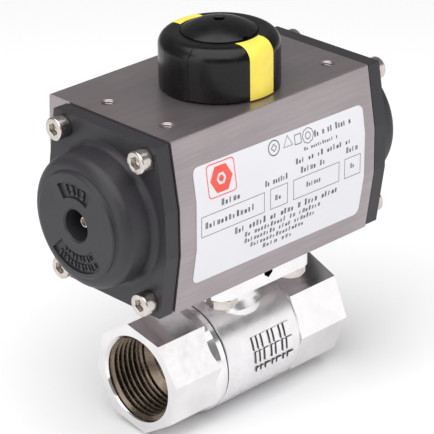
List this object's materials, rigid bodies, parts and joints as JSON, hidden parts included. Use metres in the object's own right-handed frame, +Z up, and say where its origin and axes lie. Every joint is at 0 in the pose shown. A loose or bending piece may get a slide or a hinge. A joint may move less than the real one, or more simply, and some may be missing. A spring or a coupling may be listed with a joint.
{
  "type": "rotary pneumatic actuator on a ball valve",
  "caption": "Quarter-turn rack-and-pinion pneumatic actuator with an indicator puck, direct-mounted on a threaded one-inch ball valve.",
  "frame": {"origin": "centre of the ball, where the pipe axis and the stem axis cross", "axes": "+X along the pipe and the cylinder towards the valve body's own end, +Z up the stem and the pinion to the position indicator, -Y towards the rating plate"},
  "size_m": [0.1406, 0.0678, 0.1499],
  "materials": {
    "anodised_body": "brushed, warm grey hard anodising",
    "powder_coat": "fine-textured dark grey powder coat on die-cast alloy",
    "stainless": "cold-headed A2 stainless, satin",
    "black_steel": "black oxide",
    "pinion_steel": "turned and hobbed, satin",
    "piston_alloy": "die-cast, machined lands",
    "plated_brass": "bright nickel plate over forged brass",
    "chrome_ball": "mirror polished",
    "black_plastic": "moulded, glossy",
    "yellow_plastic": "moulded, semi-gloss",
    "white_vinyl": "printed self-adhesive vinyl",
    "ptfe": "machined PTFE",
    "acetal": "moulded acetal",
    "gasket_rubber": "nitrile, matt"
  },
  "bodies": {
    "housing": {"actuator_body": "anodised_body", "rating_plate": "white_vinyl", "end_cap_near": "powder_coat", "end_cap_far": "powder_coat", "cap_gasket_near": "gasket_rubber", "cap_gasket_far": "gasket_rubber", "cap_screw_near_1": "stainless", "cap_screw_near_2": "stainless", "cap_screw_near_3": "stainless", "cap_screw_near_4": "stainless", "adjuster_nut_near": "black_steel", "cap_screw_far_1": "stainless", "cap_screw_far_2": "stainless", "cap_screw_far_3": "stainless", "cap_screw_far_4": "stainless", "adjuster_nut_far": "black_steel", "lower_bearing": "acetal", "upper_bearing": "acetal", "thrust_washer": "acetal", "pinion_o_ring_lower": "gasket_rubber", "pinion_o_ring_upper": "gasket_rubber", "valve_body": "plated_brass", "valve_end_connector": "plated_brass", "connector_seal": "ptfe", "seat_near": "ptfe", "seat_far": "ptfe", "stem_thrust_washer": "ptfe", "stem_packing": "ptfe", "gland_nut": "black_steel", "mounting_bolt_1": "stainless", "mounting_bolt_2": "stainless", "mounting_bolt_3": "stainless", "mounting_bolt_4": "stainless"},
    "rotor": {"pinion": "pinion_steel", "retaining_ring": "pinion_steel", "indicator_cap": "black_plastic", "indicator_plug": "black_plastic", "indicator_insert_black_near": "black_plastic", "indicator_insert_black_far": "black_plastic", "indicator_insert_yellow_front": "yellow_plastic", "indicator_insert_yellow_back": "yellow_plastic", "indicator_screw": "stainless", "stem": "stainless", "ball": "chrome_ball"},
    "piston_far_set": {"piston_far": "piston_alloy", "piston_o_ring_far": "gasket_rubber", "piston_guide_band_far": "acetal", "piston_back_pad_far": "acetal"},
    "piston_near_set": {"piston_near": "piston_alloy", "piston_o_ring_near": "gasket_rubber", "piston_guide_band_near": "acetal", "piston_back_pad_near": "acetal"},
    "adjuster_far": {"stroke_adjuster_far": "stainless"},
    "adjuster_near": {"stroke_adjuster_near": "stainless"}
  },
  "joints": [
    {"name": "pinion_turn", "type": "hinge", "parent": "housing", "child": "rotor", "pos_m": [0, 0, 0], "axis": [0, 0, 1], "range_deg": [0, 90]},
    {"name": "piston_far_slide", "type": "slide", "parent": "housing", "child": "piston_far_set", "axis": [1, 0, 0], "range_m": [0, 0.0126]},
    {"name": "piston_near_slide", "type": "slide", "parent": "housing", "child": "piston_near_set", "axis": [-1, 0, 0], "range_m": [0, 0.0126]},
    {"name": "adjuster_far_travel", "type": "slide", "parent": "housing", "child": "adjuster_far", "axis": [1, 0, 0], "range_m": [0, 0.003]},
    {"name": "adjuster_near_travel", "type": "slide", "parent": "housing", "child": "adjuster_near", "axis": [-1, 0, 0], "range_m": [0, 0.003]}
  ],
  "couplings": [
    {"joint": "piston_far_slide", "follows": "pinion_turn", "m_per_rad": 0.008},
    {"joint": "piston_near_slide", "follows": "pinion_turn", "m_per_rad": 0.008}
  ]
}
